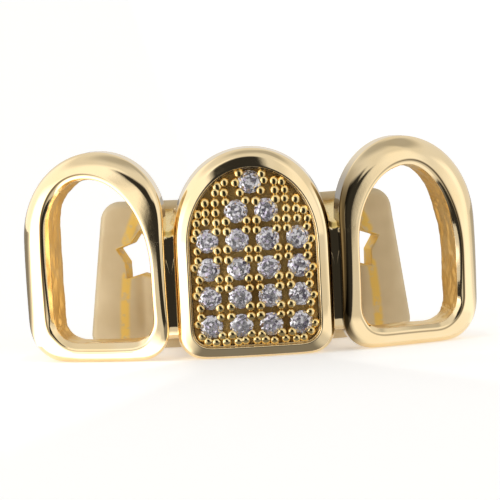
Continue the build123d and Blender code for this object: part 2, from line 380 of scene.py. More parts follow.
def wall_skin(shape, first, seed):
    """Lumps and finer grain on the section's columns from the first one of the inner wall to the last."""
    mask = np.zeros(shape[1])
    mask[first:] = 1.0
    mask = np.convolve(mask, np.ones(3) / 3, mode="same")
    lumps = skin(*shape, *lump_waves, seed)
    return (lumps + grain_share * skin(*shape, *grain_waves, seed + grain_seed)) * mask * skin_height


def loop_wobble(count, wave, seed):
    """Slow noise of unit strength round a loop."""
    noise = blur_loop(np.random.default_rng(seed).standard_normal(count), wave)
    return noise / noise.std()


print("casting skin", skin_height, "mm high")

# %% [markdown]
# ## The open outer frames
#
# The two are mirrored, but each was filed by hand, so each has its own window and its own radii round the
# rim. One frame and a Mirror modifier would be quicker and lose that. Short tables hold the difference: a
# window is its sides, apex, heights, springs and corners, and the rim has a size for each direction. Both
# frames lean towards the middle tooth at the back, which is why the outer outline is worked out at the
# front and at the back of the wall and blended by depth.

# %% Sizes of the outer frames
outer_mesial = 3.49
outer_distal = 5.08
outer_apex = 0.6
outer_heights = (0.0, 11.63)
outer_corners = (1.7, 2.0)
outer_lean = 0.5
window_draft = 0.1
hand_share = 0.13
hand_wave = 16
right_seed, left_seed = 11, 12

rim_directions = [0, 60, 90, 130, 165, 180, 225, 270, 315]
right_look = {
    "springs": (7.4, 6.9),
    "window": ((2.45, 3.5), 0.7, (1.08, 10.08), (5.8, 5.0), (1.3, 1.3)),
    "rim": {
        "edge": [0.7, 0.65, 0.5, 0.35, 0.2, 0.15, 0.25, 0.4, 0.5],
        "turn": [66, 68, 62, 48, 45, 44, 48, 62, 70],
        "roll": [1.3, 1.2, 1.35, 1.3, 1.0, 0.75, 0.8, 0.8, 0.95],
        "tilt": [8, 9, 9, 4, 1, 0, 3, 10, 12],
        "bevel": [0.1, 0.08, 0.05, 0.01, 0.01, 0.01, 0.08, 0.16, 0.1],
        "slope": [55, 50, 45, 40, 42, 45, 45, 42, 50],
    },
}
left_look = {
    "springs": (7.9, 6.9),
    "window": ((2.68, 3.3), 0.9, (1.08, 10.2), (5.0, 7.6), (1.3, 1.3)),
    "rim": {
        "edge": [0.6, 0.6, 0.5, 0.35, 0.25, 0.22, 0.3, 0.4, 0.5],
        "turn": [70, 70, 62, 48, 52, 60, 62, 62, 70],
        "roll": [1.1, 1.1, 1.1, 1.05, 0.7, 0.45, 0.5, 0.8, 0.95],
        "tilt": [14, 13, 9, 2, 2, 3, 5, 10, 12],
        "bevel": [0.14, 0.12, 0.06, 0.01, 0.01, 0.01, 0.1, 0.2, 0.2],
        "slope": [60, 55, 45, 42, 42, 45, 45, 42, 55],
    },
}
print("window heights, mm", right_look["window"][2], "right,", left_look["window"][2], "left")

# %% Outer frames


def outer_outline(springs, lean=0.0):
    """Outline of an outer frame, with its mesial side drawn in by the lean."""
    sides = (outer_mesial - lean, outer_distal)
    return tooth_outline(sides, outer_apex, outer_heights, springs, outer_corners)


def window_outline(window, draft=0.0):
    """Outline of a window, drawn in all round by the draft."""
    (mesial, distal), apex, (foot, top), springs, corners = window
    sides, heights = (mesial - draft, distal - draft), (foot + draft, top - draft)
    return tooth_outline(sides, apex, heights, springs, corners)


def blended(first, second, share):
    """Points of the first loop at share zero, of the second one at share one, for each column."""
    return first * (1 - share[..., None]) + second * share[..., None]


def frame_points(look, seed):
    """Grid of a rim: outline and window blended by the section's share, and by depth from front to back."""
    front, back = outer_outline(look["springs"]), outer_outline(look["springs"], outer_lean)
    places = opposite(front, window_outline(look["window"]))
    window = at_places(window_outline(look["window"]), places)
    window_behind = at_places(window_outline(look["window"], window_draft), places)
    width = np.linalg.norm(window - front, axis=1)[:, None]
    depth = full_depth(front[:, 0], front[:, 1])[:, None]
    size = {name: by_facing(front, rim_directions, values) for name, values in look["rim"].items()}
    size["bevel"] = size["bevel"] * (1 + hand_share * loop_wobble(len(front), hand_wave, seed)[:, None])
    size.update({name: np.radians(size[name]) for name in ("turn", "tilt", "slope")})
    across, deep, firsts = rim_profile(width, depth, **size)
    behind = np.clip(deep / depth, 0, 1)
    outside = blended(front[:, None], back[:, None], behind)
    inside = blended(window[:, None], window_behind[:, None], behind)
    inward = (inside - outside) / width[..., None]
    lumps = wall_skin(across.shape, firsts[inner_wall], seed)[..., None]
    flat = blended(outside, inside, across / width) + inward * lumps
    return on_tooth(flat[..., 0], flat[..., 1], deep, tooth_angle), firsts


def frame_piece(name, points, mirrored=False):
    """Closed ring from a grid that wraps both ways."""
    faces = grid_faces(*points.shape[:2], True, True)
    return closed_piece(name, points.reshape(-1, 3) * ([-1, 1, 1] if mirrored else [1, 1, 1]), faces)


right_points, rim_firsts = frame_points(right_look, right_seed)
left_points, rim_firsts = frame_points(left_look, left_seed)
right_frame = frame_piece("right_frame", right_points)
left_frame = frame_piece("left_frame", left_points, mirrored=True)

# %% [markdown]
# ## The painted dark line along the crest
#
# So narrow a crest mirrors the dark side of the tent as a thin line, and the tight gap beside the middle
# tooth mirrors that tooth. Light alone is hard to steer onto a radius this small, so both are painted
# reflections. A number kept at each point of the mesh is surer: it says how dark the painted reflection is
# there, and the material reads it.

# %% Crest line
# Painted dark reflection along the crest, by direction round the outline, and in the gap beside the middle
# tooth.
crest_reflection_strength = [1.0, 0.9, 0.75, 0.1, 0.0, 0.0, 0.25, 0.6, 0.85]
line_shift = 2.0            # columns of the section, from the crest's middle towards the outside
line_core, line_fade = 1.5, 2.2
gap_directions = [0, 132, 152, 168, 192, 215, 240]
gap_strength = np.array([0, 0, 0.9, 1, 1, 1, 0])
gap_reach = 12              # columns of the broad roll that the gap shades
gap_fade = 5
gap_blur = 6.0
mark_springs = (7.7, 6.9)


def mark_points(piece, name, values):
    """Keeps one number for each point of the mesh."""
    mark = piece.data.attributes.new(name, "FLOAT", "POINT")
    mark.data.foreach_set("value", values.astype(np.float32).ravel())
    print(piece.name, name, "mean", round(float(values.mean()), 3))


def crest_reflection_mark(gap):
    """Painted dark reflection: one along the middle of the crest, up to the gap's share beside the middle
    tooth.
    """
    outline = outer_outline(mark_springs)
    column = np.arange(rim_firsts[-1])[None, :]
    middle = (rim_firsts[crest_arc] + rim_firsts[bevel_run]) / 2 - line_shift
    line = np.clip(line_core - np.abs(column - middle) / line_fade, 0, 1)
    wall = np.clip((rim_firsts[broad_roll] + gap_reach - column) / gap_fade, 0, 1)
    wall = wall * (column >= rim_firsts[outer_wall])
    beside = by_facing(outline, gap_directions, gap * gap_strength, gap_blur)
    return np.maximum(by_facing(outline, rim_directions, crest_reflection_strength) * line, beside * wall)


mark_points(right_frame, "crest", crest_reflection_mark(1.0))
mark_points(left_frame, "crest", crest_reflection_mark(0.0))

# %% [markdown]
# ## The middle frame
#
# This one is closed by the stone panel. Its rim rolls over on both sides, and inside it steps down to a
# narrow shelf that carries the panel, with a fine ridge pressed up round the panel's edge. It is one more
# section carried round an outline, so ridge, shelf and back come from the same grid and never part.

# %% Sizes of the middle frame
cap_half, cap_top, cap_corner = 4.33, 11.5, 1.3
pocket_half, pocket_foot, pocket_top, pocket_corner = 3.48, 0.7, 10.42, 0.9
cap_spring = 6.3
panel_sink = 0.45
panel_thickness = 0.62
seat_gap = 0.02
ledge_width = 0.4
cap_directions = [0, 45, 90, 135, 180, 225, 270, 315]
cap_roll = [0.62, 0.62, 0.52, 0.62, 0.62, 0.55, 0.42, 0.55]
cap_tilt = [20, 17, 6, 17, 20, 15, 3, 15]
cap_splay = [0.02, 0.18, 0.03, 0.18, 0.02, 0.0, 0.0, 0.0]
splay_reach = 0.5
cap_crest = 0.09
seam_width = 0.07
ridge_radius = 0.045
ridge_deep = 0.3
shelf_wall = 9              # place in the cap's list of steps
print("stone panel, mm", 2 * pocket_half, "by", round(pocket_top - pocket_foot, 2))

# %% Middle frame


def even_outline(half, foot, top, corner):
    """Outline in the middle tooth's shape, the same on both sides."""
    return tooth_outline((half, half), 0.0, (foot, top), (cap_spring, cap_spring), (corner, corner))


def cap_profile(width, depth, roll, tilt):
    """Section of the middle frame: over the roll to a narrow crest, down to a ridge round the panel, then
    down to the shelf, along it and out through the back."""
    shelf = panel_sink + panel_thickness + seat_gap
    room = width - seam_width - cap_crest * (1 + np.sin(tilt))
    roll = np.minimum(roll, room / (1 - np.sin(tilt)))
    crown = room - roll * (1 - np.sin(tilt))
    roll_top = roll * np.cos(tilt) + crown * np.tan(tilt) + cap_crest * (1 - np.cos(tilt))
    past_pocket = ledge_width + seam_width - 2 * ridge_radius
    one = np.ones_like(width)
    return profile((back_round * one, depth), [
        (4, back_round, -half_turn, -quarter_turn),
        (8, depth - back_round - roll_top, -quarter_turn),
        (22, roll, -quarter_turn, -tilt),
        (6, crown / np.cos(tilt), -tilt),
        (8, cap_crest, -tilt, quarter_turn * one),
        (4, (ridge_deep - cap_crest) * one, quarter_turn),
        (6, ridge_radius, -quarter_turn, quarter_turn),
        (5, (shelf - ridge_deep) * one, quarter_turn),
        (5, past_pocket * one, 0.0),
        (8, depth - shelf, quarter_turn),
        (8, width + ledge_width - back_round, half_turn),
    ])


def cap_points():
    """Grid of the middle frame's closed section, carried round its outline and splayed towards the back."""
    outline = even_outline(cap_half, 0.0, cap_top, cap_corner)
    pocket = even_outline(pocket_half, pocket_foot, pocket_top, pocket_corner)
    pocket = at_places(pocket, opposite(outline, pocket))
    width = np.linalg.norm(pocket - outline, axis=1)[:, None]
    depth = full_depth(outline[:, 0], outline[:, 1])[:, None]
    roll = by_facing(outline, cap_directions, cap_roll)
    tilt = np.radians(by_facing(outline, cap_directions, cap_tilt))
    across, deep, firsts = cap_profile(width, depth, roll, tilt)
    splay = by_facing(outline, cap_directions, cap_splay) * np.clip(deep / depth, 0, 1)
    share = (across - splay * np.clip(1 - across / splay_reach, 0, 1)) / width
    flat = blended(outline[:, None], pocket[:, None], share)
    return on_tooth(flat[..., 0], flat[..., 1], deep, 0.0), firsts


middle_points, cap_firsts = cap_points()
middle_frame = frame_piece("middle_frame", middle_points)

# %% [markdown]
# ## The back band
#
# Behind the teeth runs a curved plate with a star cut through behind each tooth. A Boolean could cut the
# stars, but it leaves slivers that spoil the shading. Here each star sits in its own cell: rays from the
# star's middle meet the star and the cell's edge at the same angle, and rings between the two carry the
# face, the edge of the hole and the face behind. A shallow valley runs up the front through each star, and
# a half-round strip closes the plate all round.

# %% Back band
band_outside = 18.5
band_thickness = 1.0
band_middle = band_outside - band_thickness / 2
band_height = 8.4
band_round = 0.42
band_top_reach, band_foot_reach = 8.08, 9.15        # sideways, straight from the part's middle
band_top_half = band_middle * math.asin(band_top_reach / band_middle)
band_foot_half = band_middle * math.asin(band_foot_reach / band_middle)
foot_corner = 0.8 - band_round
top_corner = 1.2 - band_round
low, high = band_round, band_height - band_round
seam = band_middle * tooth_angle / 2
star_height = 5.25
star_outer = 1.5
star_inner = 0.95
star_edge = 0.07
cell_counts = {"foot": 90, "foot_corner": 14, "end": 70, "top_corner": 18, "top": 80, "seam": 80}


def on_band(p, z, radius):
    """Points at length p along the band's middle and height z, at a distance from the arch axis."""
    angle = p / band_middle
    return np.stack([radius * np.sin(angle), arch_axis - radius * np.cos(angle), z + 0 * p], axis=-1)


def star_reach(angle):
    """Distance from the star's middle to its edge: the straight line between a point and a notch.

    Within a tenth of a turn the edge runs from the outer radius to the inner one, and its distance along
    any ray follows from the sine rule.
    """
    tenth = math.pi / 5
    a = np.abs((angle - math.pi / 2 + tenth) % (2 * tenth) - tenth)
    reach = star_outer * star_inner * math.sin(tenth)
    return reach / (star_outer * np.sin(a) + star_inner * np.sin(tenth - a))


print("stars, mm across their points:", 2 * star_outer)

# %% Cells round the stars


def middle_cell():
    """Edge of the middle cell, anticlockwise from its lower left corner."""
    corners = [(-seam, low), (seam, low), (seam, high), (-seam, high), (-seam, low)]
    counts = [cell_counts[side] for side in ("foot", "seam", "top", "seam")]
    return np.concatenate([run(*ends) for ends in zip(corners, corners[1:], counts)])


def end_cell():
    """Edge of the right cell, anticlockwise from its lower left corner, with its slanted round end."""
    slant = math.atan2(band_foot_half - band_top_half, band_height)
    tilt = math.degrees(slant)
    towards_end = np.array([math.cos(slant), math.sin(slant)])
    n = cell_counts

    def corner_middle(z, radius):
        """Middle of a round corner that touches the inset line of the slanted end."""
        inset_line = band_foot_half - z * math.tan(slant) - band_round / math.cos(slant)
        return inset_line - radius / math.cos(slant), z

    lower = corner_middle(low + foot_corner, foot_corner)
    upper = corner_middle(high - top_corner, top_corner)
    start = np.array(lower) + foot_corner * towards_end
    stop = np.array(upper) + top_corner * towards_end
    return np.concatenate([
        run((seam, low), (lower[0], low), n["foot"]),
        arc(lower, (foot_corner, foot_corner), -90, tilt, n["foot_corner"]),
        run(start, stop, n["end"]),
        arc(upper, (top_corner, top_corner), tilt, 90, n["top_corner"]),
        run((upper[0], high), (seam, high), n["top"]),
        run((seam, high), (seam, low), n["seam"]),
    ])


print("star cells", len(middle_cell()), "and", len(end_cell()), "rays")

# %% Rings between star and cell
face_rings = 22
ring_crowding = 0.8
edge_steps = 5
valley_width = 0.33
valley_depth = 0.13
valley_fade = 0.8


def swell(distance, height, reach, power=2):
    """A soft rise: full height at distance zero, gone past its reach, flatter on top for higher powers."""
    return height * np.exp(-(distance / reach) ** power)


def cell_grid(edge, centre):
    """Grid from the cell's edge over the front face, through the star and out to the edge behind."""
    rays = edge - centre
    angle = np.arctan2(rays[:, 1], rays[:, 0])
    star = np.stack([np.cos(angle), np.sin(angle)], axis=-1) * star_reach(angle)[:, None]
    grown = star * (1 + star_edge / np.linalg.norm(star, axis=1, keepdims=True))
    share = np.linspace(0, 1, face_rings)[None, :, None] ** ring_crowding
    face = rays[:, None] * (1 - share) + grown[:, None] * share
    turn = np.linspace(0, quarter_turn, edge_steps)[None, 1:, None]
    edge_round = star[:, None] + (grown - star)[:, None] * (1 - np.sin(turn))
    wall = np.repeat(star[:, None], edge_steps - 2, axis=1)
    flat = np.concatenate([face, edge_round, wall, edge_round[:, ::-1], face[:, ::-1]], axis=1) + centre
    half = band_thickness / 2
    every_ray = np.zeros((len(edge), 1))
    face_out = np.full((1, face_rings), half) + every_ray
    round_out = (half - star_edge * (1 - np.cos(turn[..., 0]))) + every_ray
    wall_out = np.linspace(half - star_edge, -half + star_edge, edge_steps)[None, 1:-1] + every_ray
    out = np.concatenate([face_out, round_out, wall_out, -round_out[:, ::-1], -face_out], axis=1)
    z = flat[..., 1]
    valley = swell(flat[..., 0] - centre[0], valley_depth, valley_width) * np.isclose(out, half)
    fade = np.clip(np.minimum(z - valley_fade, band_height - valley_fade - z) / valley_fade, 0, 1)
    return on_band(flat[..., 0], z, band_middle + out - valley * fade)


print("columns of a cell's grid", 2 * (face_rings + edge_steps - 1) + edge_steps - 2)

# %% Strip round the band, and the whole band
strip_steps = 15
merge_distance = 0.002


def band_loop():
    """The whole inset outline of the band, put together from the three cells' edges without their seams."""
    n = cell_counts
    middle = middle_cell()
    right = end_cell()[:-n["seam"]]
    foot = middle[:n["foot"]]
    top = middle[n["foot"] + n["seam"]:-n["seam"]]
    left = np.concatenate([right, [[seam, high]]])[::-1] * [-1, 1]
    return np.concatenate([foot, right, top, left[:-1]])


def rim_strip(loop):
    """Half-round edge: the loop moves out along its normal by a sine, the radius swings by a cosine."""
    ahead = np.roll(loop, -1, axis=0) - np.roll(loop, 1, axis=0)
    normal = np.stack([ahead[:, 1], -ahead[:, 0]], axis=-1)
    normal /= np.linalg.norm(normal, axis=1, keepdims=True)
    turn = np.linspace(0, math.pi, strip_steps)[None, :]
    flat = loop[:, None] + normal[:, None] * (band_round * np.sin(turn))[..., None]
    return on_band(flat[..., 0], flat[..., 1], band_middle + band_thickness / 2 * np.cos(turn))


def merge_close(piece):
    """Joins the points where the parts of a piece meet, then points all faces outwards."""
    work = bmesh.new()
    work.from_mesh(piece.data)
    bmesh.ops.remove_doubles(work, verts=work.verts, dist=merge_distance * mm)
    bmesh.ops.recalc_face_normals(work, faces=work.faces)
    open_edges = sum(1 for e in work.edges if len(e.link_faces) != 2)
    work.to_mesh(piece.data)
    work.free()
    print(piece.name, len(piece.data.polygons), "faces, edges without two faces:", open_edges)


def joined_piece(name, grids, close_rows, close_columns):
    """One piece from several grids that meet along their borders."""
    points, faces, first = [], [], 0
    for grid in grids:
        faces.append(grid_faces(*grid.shape[:2], close_rows, close_columns, first))
        points.append(grid.reshape(-1, 3))
        first += len(points[-1])
    piece = make_piece(name, np.concatenate(points), np.concatenate(faces))
    merge_close(piece)
    return piece


middle_grid = cell_grid(middle_cell(), np.array([0.0, star_height]))
right_grid = cell_grid(end_cell(), np.array([band_middle * tooth_angle, star_height]))
band_grids = [middle_grid, right_grid, right_grid * [-1, 1, 1], rim_strip(band_loop())]
back_band = joined_piece("back_band", band_grids, True, False)

# %% [markdown]
# ## Yellow streaks on the band
#
# Seen through the windows the band is pale satin, with brighter yellow streaks round the stars and across
# the plate. A painted image would do it, but the streaks are few, so each is a short path, and each point
# of the mesh keeps how near it lies to one.

# %% Streak marks
# Along the band and up, from a star's middle.
streak_paths = [[(0.9, -1.1), (1.1, -2.8), (1.2, -5.0)], [(0.8, 0.9), (-0.1, 3.0)]]
streak_half = 0.26
streak_soft = 0.08
star_margin = 0.1
star_soft = 0.06


def path_distance(points, path):
    """Least distance of points from a path of straight stretches."""
    nearest = np.full(len(points), very_far)
    for start, stop in zip(np.array(path)[:-1], np.array(path)[1:]):
        along = stop - start
        share = np.clip(((points - start) @ along) / (along @ along), 0, 1)
        nearest = np.minimum(nearest, np.linalg.norm(points - start - share[:, None] * along, axis=1))
    return nearest


def streak_share(piece):
    """One along the streaks and round the stars, zero elsewhere, from each point's place on the band."""
    co = np.empty(3 * len(piece.data.vertices))
    piece.data.vertices.foreach_get("co", co)
    x, y, z = (co.reshape(-1, 3) / mm).T
    along = np.abs(np.arctan2(x, arch_axis - y) * band_middle)
    place = np.stack([along - band_middle * tooth_angle, z - star_height], axis=-1)
    near = np.minimum(*(path_distance(place, path) for path in streak_paths))
    share = np.clip((streak_half + streak_soft - near) / (2 * streak_soft), 0, 1)
    past_star = np.linalg.norm(place, axis=1) - star_reach(np.arctan2(place[:, 1], place[:, 0]))
    return np.maximum(share, np.clip((star_margin - past_star) / star_soft, 0, 1))


mark_points(back_band, "streak", streak_share(back_band))

# %% [markdown]
# ## The webs
#
# Between neighbouring frames an upright plate runs back to the band, and solder joins it at both ends. A
# bevelled box would look bolted on. So the section is a tall stadium whose sizes change along the way: it
# grows taller towards the band, spreads where it meets the frames and the band, and climbs the frames in a
# saddle, as solder does.

# %% Sizes of the webs
web_place = 4.56
frame_sink, band_sink = 1.0, 0.5
web_front = arch_axis - math.sqrt((arch_radius - frame_sink) ** 2 - web_place ** 2)
web_back = arch_axis - math.sqrt((band_outside - band_sink) ** 2 - web_place ** 2)
web_half = 0.4
web_tops = (7.0, 8.0)       # at the frames and at the band
web_feet = (1.2, 0.5)
web_crown = 0.12
flare_place = 0.45          # before the band

# Height, reach and power of the swellings.
frame_flare = (0.42, 1.1, 4)
band_flare = (0.45, 0.4, 2)
front_nose = (0.22, 0.16, 2)
saddle = (1.7, 1.5, 2)
foot_drop = (0.5, 1.2, 2)
top_bend, saddle_bend, foot_bend = 0.8, 2.4, 3
stations, across_count, up_count = 64, 33, 26
end_rings = (0.0, 0.3, 0.6, 0.85)
print("webs from", round(web_front, 2), "to", round(web_back, 2), "mm")

# %% Webs


def web_points(side):
    """Grid of a web: each station is a closed section of foot, side, saddle-shaped top and side."""
    steps = np.linspace(0, 1, stations)[:, None]
    y = web_front + (web_back - web_front) * steps
    behind = y - web_front
    half = web_half + (swell(behind, *frame_flare) + swell(y - web_back + flare_place, *band_flare))
    nose = swell(behind, *front_nose)
    low_edge = web_feet[0] + (web_feet[1] - web_feet[0]) * steps + nose
    high_edge = web_tops[0] + (web_tops[1] - web_tops[0]) * steps ** top_bend - nose
    u = np.linspace(-1, 1, across_count)[None, :]
    roof = high_edge + (swell(behind, *saddle) + web_crown) * np.abs(u) ** saddle_bend
    foot = low_edge - swell(behind, *foot_drop) * np.abs(u) ** foot_bend
    share = np.linspace(0, 1, up_count)[None, 1:-1]
    right_side = foot[:, -1:] + (roof[:, -1:] - foot[:, -1:]) * share
    left_side = roof[:, :1] + (foot[:, :1] - roof[:, :1]) * share
    across = np.concatenate([u + 0 * y, 1 + 0 * right_side, u[:, ::-1] + 0 * y, -1 + 0 * left_side], axis=1)
    z = np.concatenate([foot, right_side, roof[:, ::-1], left_side], axis=1)
    x = side * (web_place + half * across)
    return np.stack([x, y + 0 * x, z], axis=-1)


def shrunk(end, shares):
    """Copies of an end section, shrunk towards its middle by the shares."""
    centre = end.mean(axis=0)
    return [centre + (end - centre) * share for share in shares]


def web_piece(name, side):
    """Web with both ends closed by rings that shrink to the middle of the end section."""
    grid = web_points(side)
    rings = np.stack(shrunk(grid[0], end_rings) + list(grid) + shrunk(grid[-1], end_rings[::-1]))
    piece = closed_piece(name, rings.reshape(-1, 3), grid_faces(*rings.shape[:2], False, True))
    merge_close(piece)
    return piece


right_web = web_piece("right_web", 1)
left_web = web_piece("left_web", -1)

# %% [markdown]
# ## Where the beads stand
#
# A setter raises small beads of metal from the panel and pushes them over the edges of the stones. Each
# stone has four, at the corners of its square, and more fill the metal between and line the panel's edge.
# Scattering them at random would put some on stones, so places are tried in that order, and each is kept
# only if it is clear of every stone and of every bead before it.

# %% Stones and room for beads
stone_width = 1.3
stone_across, stone_up = 1.66, 1.57
stone_rows = [4, 4, 4, 4, 2, 1]
lowest_row = 1.81
lattice_rows = 20
edge_row_inset = 0.23
edge_row_corner = 0.7
prong_inset, last_inset = 0.28, 0.22

# Least distance from the middle of a stone, and from the middle of another bead.
prong_clear = (0.72, 0.45)
edge_row_clear = (0.7, 0.42)
filling_clear = (0.85, 0.42)


def stone_places():
    """Middle of every stone as (s, z), from the lowest row up."""
    places = [((i - (count - 1) / 2) * stone_across, lowest_row + row * stone_up)
              for row, count in enumerate(stone_rows) for i in range(count)]
    return np.array(places)


def inside_panel(places, inset):
    """Which places lie inside the panel's outline drawn in by inset: ellipse above, round corners below."""
    s, z = np.abs(places[:, 0]), places[:, 1]
    half, corner = pocket_half - inset, pocket_corner - inset
    arch = (s / half) ** 2 + ((z - cap_spring) / (pocket_top - inset - cap_spring)) ** 2 < 1
    past_side = np.maximum(s - half + corner, 0)
    past_foot = np.maximum(pocket_foot + inset + corner - z, 0)
    return np.where(z > cap_spring, arch, np.hypot(past_side, past_foot) < corner)


print("stones", len(stone_places()))

# %% Bead places


def clear_places(kept, places, clearance):
    """Adds each place that keeps both distances, one after another, to the places kept so far."""
    from_stones, from_beads = clearance
    stones = stone_places()
    for place in places:
        near_bead = kept and np.linalg.norm(np.array(kept) - place, axis=1).min() <= from_beads
        if not near_bead and np.linalg.norm(stones - place, axis=1).min() > from_stones:
            kept.append(place)
    return kept


def lattice_places(step, columns):
    """Middles of a lattice laid over the whole panel."""
    up = lowest_row + np.arange(-lattice_rows, lattice_rows) * step[1]
    return np.stack(np.meshgrid(columns * step[0], up), axis=-1).reshape(-1, 2)


def bead_places():
    """Prongs at the corners of each stone, a lattice between them, an edge row, then what still fits."""
    step = np.array([stone_across, stone_up]) / 3
    corners = np.array([(-1, -1), (-1, 1), (1, -1), (1, 1)]) * step
    prongs = (stone_places()[:, None] + corners).reshape(-1, 2)
    between_prongs = lattice_places(step, np.arange(-7, 7) + 0.5)
    kept = np.array(clear_places([], np.concatenate([prongs, between_prongs]), prong_clear))
    kept = list(kept[inside_panel(kept, prong_inset)])
    edge_row = even_outline(pocket_half - edge_row_inset, pocket_foot + edge_row_inset,
                            pocket_top - edge_row_inset, edge_row_corner)
    kept = clear_places(kept, edge_row, edge_row_clear)
    kept = np.array(clear_places(kept, lattice_places(step / 2, np.arange(-14, 15)), filling_clear))
    return kept[inside_panel(kept, last_inset)]


print("beads", len(bead_places()))

# %% [markdown]
# ## The beads
#
# A bead is a raised bit of metal that a cupped tool has pressed round. Spheres would spend half of their
# faces below the panel, so each bead is a low dome with a short foot, and one array holds the domes of all
# places. Small differences of place, size and height keep the rows from looking printed.

# %% Beads
bead_radius = 0.272
bead_jitter = 0.022
bead_sizes = (0.93, 1.05)
bead_rises = (1.0, 1.12)
bead_sides = 10
bead_seed = 5

# Reach and height of each ring of a dome, in shares of the bead's radius.
bead_rings = np.array([(0, -0.3), (1.0, -0.3), (1.0, 0.42), (0.9, 0.63),
                       (0.64, 0.82), (0.35, 0.92), (0, 0.95)])


def on_panel(s, z, out):
    """Points at arc length s and height z on the panel's face, moved out along the face's normal."""
    angle = s / (arch_radius - panel_sink)
    lean = np.arcsin((z - bow_height) / (bow_radius - panel_sink))
    radius = front_radius(z, panel_sink) + out * np.cos(lean)
    depth = arch_axis - radius * np.cos(angle)
    return np.stack([radius * np.sin(angle), depth, z + out * np.sin(lean)], axis=-1)


def bead_grids():
    """One closed dome for every place: rings round its own middle, from a pole below to a pole on top."""
    places = bead_places()
    random = np.random.default_rng(bead_seed)
    places = places + random.normal(0, bead_jitter, places.shape)
    size = bead_radius * random.uniform(*bead_sizes, len(places))[:, None, None]
    rise = random.uniform(*bead_rises, len(places))[:, None, None]
    turn = np.linspace(0, 2 * math.pi, bead_sides, endpoint=False)
    s = places[:, 0, None, None] + size * bead_rings[:, 0, None] * np.cos(turn)
    z = places[:, 1, None, None] + size * bead_rings[:, 0, None] * np.sin(turn)
    return on_panel(s, z, size * rise * bead_rings[:, 1, None] + 0 * s)


panel_beads = joined_piece("panel_beads", bead_grids(), False, True)

# %% [markdown]
# ## Materials as small node trees
#
# The same gold shows six faces: mirror polish on the rims, satin on the band, the casting's own skin on the
# inner walls, warm beads on a darker ground in the panel, and the soft yellow of solder. The band's satin and
# the panel's ground are darker than the metal itself: partly painted shade, of the band behind the teeth and
# of the deep recesses between the beads. Each is the Principled shader with a little noise in its colour,
# gloss and relief, because perfectly even metal looks like plastic. Two helpers add and wire the nodes, so
# that each finish reads as a short list.

# %% Material helpers


def fill(tree, node, inputs):
    """Sets inputs of a node by name or number: another node's socket is linked, anything else is a value."""
    for name, value in dict(inputs).items():
        if isinstance(value, bpy.types.NodeSocket):
            tree.links.new(value, node.inputs[name])
        else:
            node.inputs[name].default_value = value


def add_node(tree, kind, inputs=(), **settings):
    """New node with its own settings and its inputs."""
    node = tree.nodes.new("ShaderNode" + kind)
    for name, value in settings.items():
        setattr(node, name, value)
    fill(tree, node, inputs)
    return node


def new_material(name, kind="BsdfPrincipled"):
    """Material with one shader, called finish, joined to its output."""
    material = bpy.data.materials.new(name)
    material.use_nodes = True
    tree = material.node_tree
    tree.nodes.clear()
    shader = add_node(tree, kind, name="finish")
    add_node(tree, "OutputMaterial", {"Surface": shader.outputs[0]})
    return material, tree, shader


def object_noise(tree, scale, detail, stretch=(1, 1, 1)):
    """Noise on Object coordinates, stretched by a Mapping node. Scale is in waves per metre."""
    place = add_node(tree, "TexCoord").outputs["Object"]
    mapped = add_node(tree, "Mapping", {"Vector": place, "Scale": stretch}).outputs["Vector"]
    return add_node(tree, "TexNoise", {"Vector": mapped, "Scale": scale, "Detail": detail}).outputs["Fac"]


def two_colours(tree, factor, first, second, start=0.35, stop=0.65):
    """Colour ramp between two colours, driven by a noise."""
    ramp_node = add_node(tree, "ValToRGB", {"Fac": factor})
    for stop_mark, position, colour in zip(ramp_node.color_ramp.elements, (start, stop), (first, second)):
        stop_mark.position = position
        stop_mark.color = (*colour, 1)
    return ramp_node.outputs["Color"]


# %% Gold finishes
drift_waves, drift_detail = 450, 2.0
grain_detail = 4.0


def gold(name, pale, deep, rough, grain_waves, grain_depth, stretch=(1, 1, 1), metal=1.0):
    """Gold whose colour drifts slowly, and whose roughness and fine relief follow one finer noise."""
    material, tree, shader = new_material(name)
    drift = object_noise(tree, drift_waves, drift_detail)
    grain = object_noise(tree, grain_waves, grain_detail, stretch)
    gloss = add_node(tree, "MapRange", {"Value": grain, "To Min": rough[0], "To Max": rough[1]})
    relief = add_node(tree, "Bump", {"Height": grain, "Strength": 1.0, "Distance": grain_depth})
    fill(tree, shader, {"Metallic": metal, "Base Color": two_colours(tree, drift, pale, deep),
                        "Roughness": gloss.outputs["Result"], "Normal": relief.outputs["Normal"]})
    print(name, "roughness", rough)
    return material


polished = gold("polished_gold", (0.97, 0.79, 0.50), (0.95, 0.75, 0.44), (0.04, 0.09), 6000, 0.0000008)
cast_skin = gold("cast_skin", (0.96, 0.74, 0.38), (0.86, 0.60, 0.24), (0.24, 0.44), 3500, 0.00001)
# Satin gold, its colour darkened as partly painted shade of the band standing behind the teeth.
shaded_satin = gold("satin_gold_shaded", (0.70, 0.58, 0.38), (0.62, 0.50, 0.31), (0.50, 0.62), 9000, 0.000003,
             stretch=(1, 1, 0.06), metal=0.45)
warm = gold("panel_gold", (0.96, 0.76, 0.38), (0.90, 0.66, 0.28), (0.06, 0.14), 8000, 0.000003)
# Deep gold, darkened further as painted shade of the recesses between the beads.
shaded_ground = gold("panel_ground_shaded", (0.68, 0.43, 0.14), (0.34, 0.19, 0.05), (0.20, 0.36), 3200, 0.00006,
              metal=0.75)
solder = gold("solder_gold", (0.95, 0.74, 0.30), (0.90, 0.66, 0.22), (0.18, 0.34), 2500, 0.00001)

# %% [markdown]
# ## Colour where the mesh has a mark
#
# The crest's dark line, a painted reflection, and the band's yellow streaks are the numbers kept at the
# points. An Attribute node reads them, and a Mix node moves the base colour towards a second one. The
# streaks are also broken up by a noise, because even edges would look printed.

# %% Marked colours
# Colour of the painted dark reflection along the crests and in the gaps.
crest_reflection_dark = (0.10, 0.065, 0.025)
streak_yellow = (0.84, 0.58, 0.14)
ragged_waves, ragged_detail = 2600, 2.0
faint_streak = 0.3


